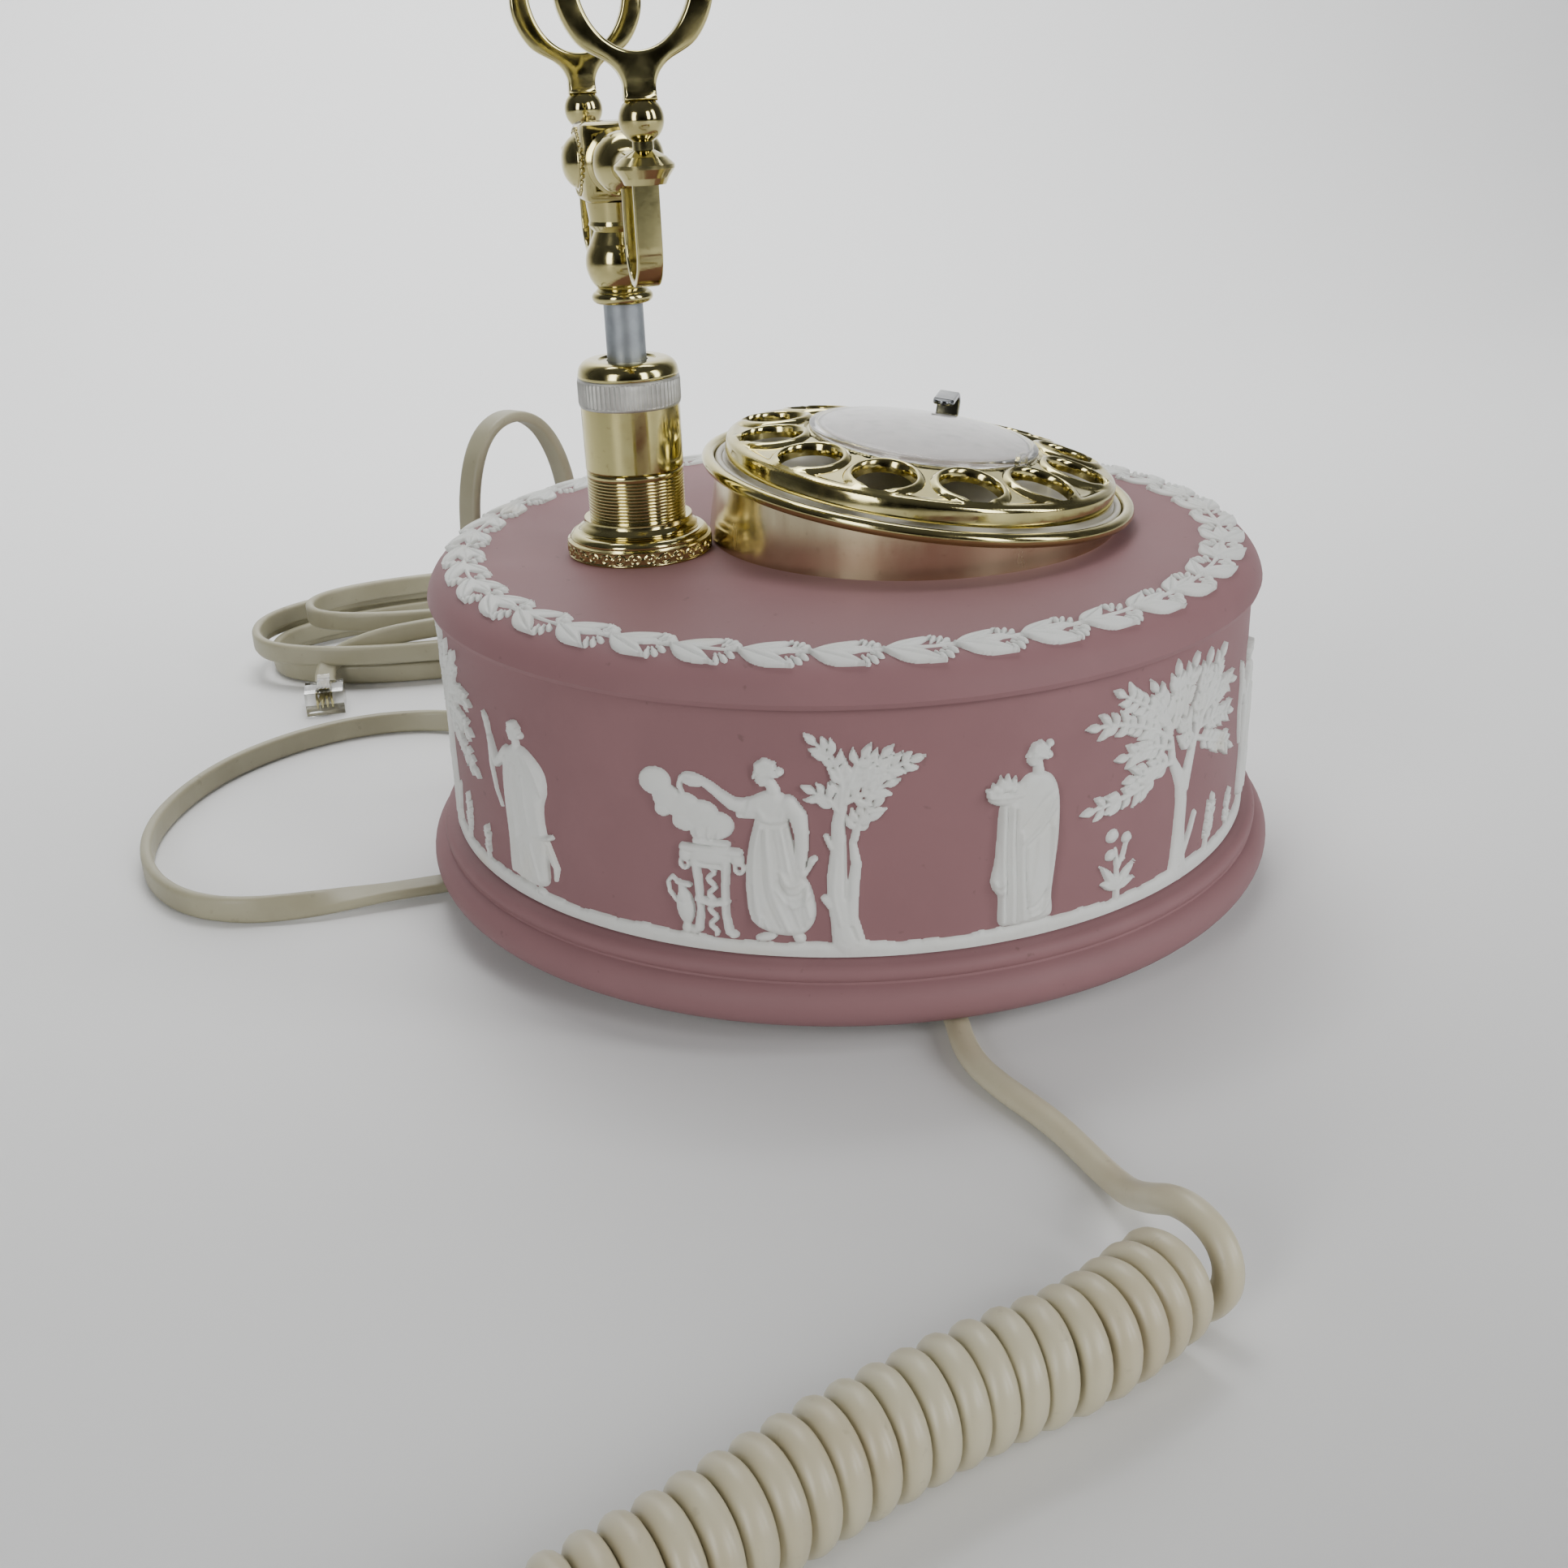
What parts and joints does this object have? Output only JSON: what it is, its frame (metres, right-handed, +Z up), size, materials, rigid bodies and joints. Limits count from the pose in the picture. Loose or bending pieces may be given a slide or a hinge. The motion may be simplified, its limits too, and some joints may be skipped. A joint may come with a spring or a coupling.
{
  "type": "cradle telephone",
  "caption": "Round ceramic-based cradle telephone with a tilted finger-wheel dial, a sprung column carrying a forked cradle, and a corded handset lying beside it.",
  "frame": {"origin": "on the table, under the middle of the round drum, in the plane of the feet", "axes": "+Z up; -Y towards the user, the dial's side; +Y towards the column; +X to the user's right"},
  "size_m": [0.4844, 0.2787, 0.1952],
  "materials": {
    "jasper": "unglazed matt stoneware, dusty pink",
    "relief": "unglazed white applied relief",
    "brass": "polished and plated, pale gold",
    "satin_brass": "brushed champagne gold",
    "inner_brass": "plain machined",
    "steel": "drawn, dull",
    "plated_steel": "zinc plated sheet",
    "dark_chrome": "polished",
    "rubber": "matt",
    "dial_cream": "moulded",
    "card": "printed card",
    "clear": "clear moulded plastic",
    "grip": "matt, dusty pink",
    "cap_cream": "moulded",
    "capsule": "pressed",
    "coil_copper": "varnished windings",
    "board": "circuit laminate",
    "cord_cream": "smooth vinyl",
    "cord_olive": "aged vinyl, flat"
  },
  "bodies": {
    "root": {"ceramic_body": "jasper", "wall_relief": "relief", "shoulder_garland": "relief", "base_plate": "plated_steel", "rubber_feet": "rubber", "base_screws": "steel", "handset_cord_gland": "rubber", "line_cord_gland": "rubber", "column_flange": "brass", "column_lower_tube": "brass", "column_upper_tube": "brass", "knurled_cap": "brass", "plunger_bush": "inner_brass", "hook_spring": "steel", "hookswitch_frame": "plated_steel", "lever_pin": "steel", "dial_housing": "satin_brass", "dial_rim": "brass", "dial_plate": "dial_cream", "dial_frame": "plated_steel", "finger_stop": "dark_chrome", "governor_cup": "inner_brass", "dial_spring": "steel", "ringer_frame": "plated_steel", "ringer_coils": "coil_copper", "ringer_gongs": "inner_brass", "circuit_board": "board", "handset_cord_lead": "cord_cream", "handset_cord_coil": "cord_cream", "handset_cord_tail": "cord_cream", "line_cord_run": "cord_olive", "line_cord_hank": "cord_olive", "line_plug": "clear"},
    "plunger": {"plunger_rod": "steel", "rod_collar": "steel", "vase_stem": "brass", "cradle_block": "brass", "side_bosses": "brass", "cradle_arm": "brass", "cradle_finials": "brass", "cradle_scrolls": "brass", "fork_near": "brass", "fork_far": "brass"},
    "lever": {"hookswitch_lever": "steel"},
    "dial_wheel": {"finger_wheel": "brass", "number_card": "card", "clear_cover": "clear", "cover_clip": "clear", "dial_shaft": "steel", "dial_gear": "inner_brass"},
    "governor": {"governor_pinion": "inner_brass", "governor_weights": "inner_brass"},
    "clapper": {"ringer_clapper": "inner_brass"},
    "handset": {"handset_grip": "grip", "handset_ferrules": "brass", "ear_cup": "brass", "mouth_cup": "brass", "handset_caps": "cap_cream", "handset_capsules": "capsule", "handset_gland": "cap_cream"}
  },
  "joints": [
    {"name": "hook_slide", "type": "slide", "parent": "root", "child": "plunger", "axis": [0, 0, -1], "range_m": [0, 0.006], "stiffness_N_per_m": 600, "springref_m": -0.004, "deforming": ["hook_spring"]},
    {"name": "hook_lever", "type": "hinge", "parent": "root", "child": "lever", "pos_m": [0, 0.0575, 0.0295], "axis": [1, 0, 0], "range_deg": [0, 20.5]},
    {"name": "dial_turn", "type": "hinge", "parent": "root", "child": "dial_wheel", "pos_m": [0, -0.0161, 0.0773], "axis": [-0.0432, -0.1414, 0.989], "range_deg": [-325, 0], "stiffness_Nm_per_rad": 0.004, "springref_deg": 57.3},
    {"name": "governor_spin", "type": "hinge", "parent": "root", "child": "governor", "pos_m": [-0.0231, -0.00904, 0.0773], "axis": [-0.0432, -0.1414, 0.989], "range_deg": [0, 1300]},
    {"name": "clapper_swing", "type": "hinge", "parent": "root", "child": "clapper", "pos_m": [0, -0.011, 0.0248], "axis": [0, 0, 1], "range_deg": [-5, 5], "stiffness_Nm_per_rad": 0.002},
    {"name": "handset_lift", "type": "slide", "parent": "root", "child": "handset", "axis": [0, 0, 1], "range_m": [0, 0.25]}
  ],
  "couplings": [
    {"joint": "hook_lever", "follows": "hook_slide", "rad_per_m": 58},
    {"joint": "governor_spin", "follows": "dial_turn", "ratio": -4}
  ]
}
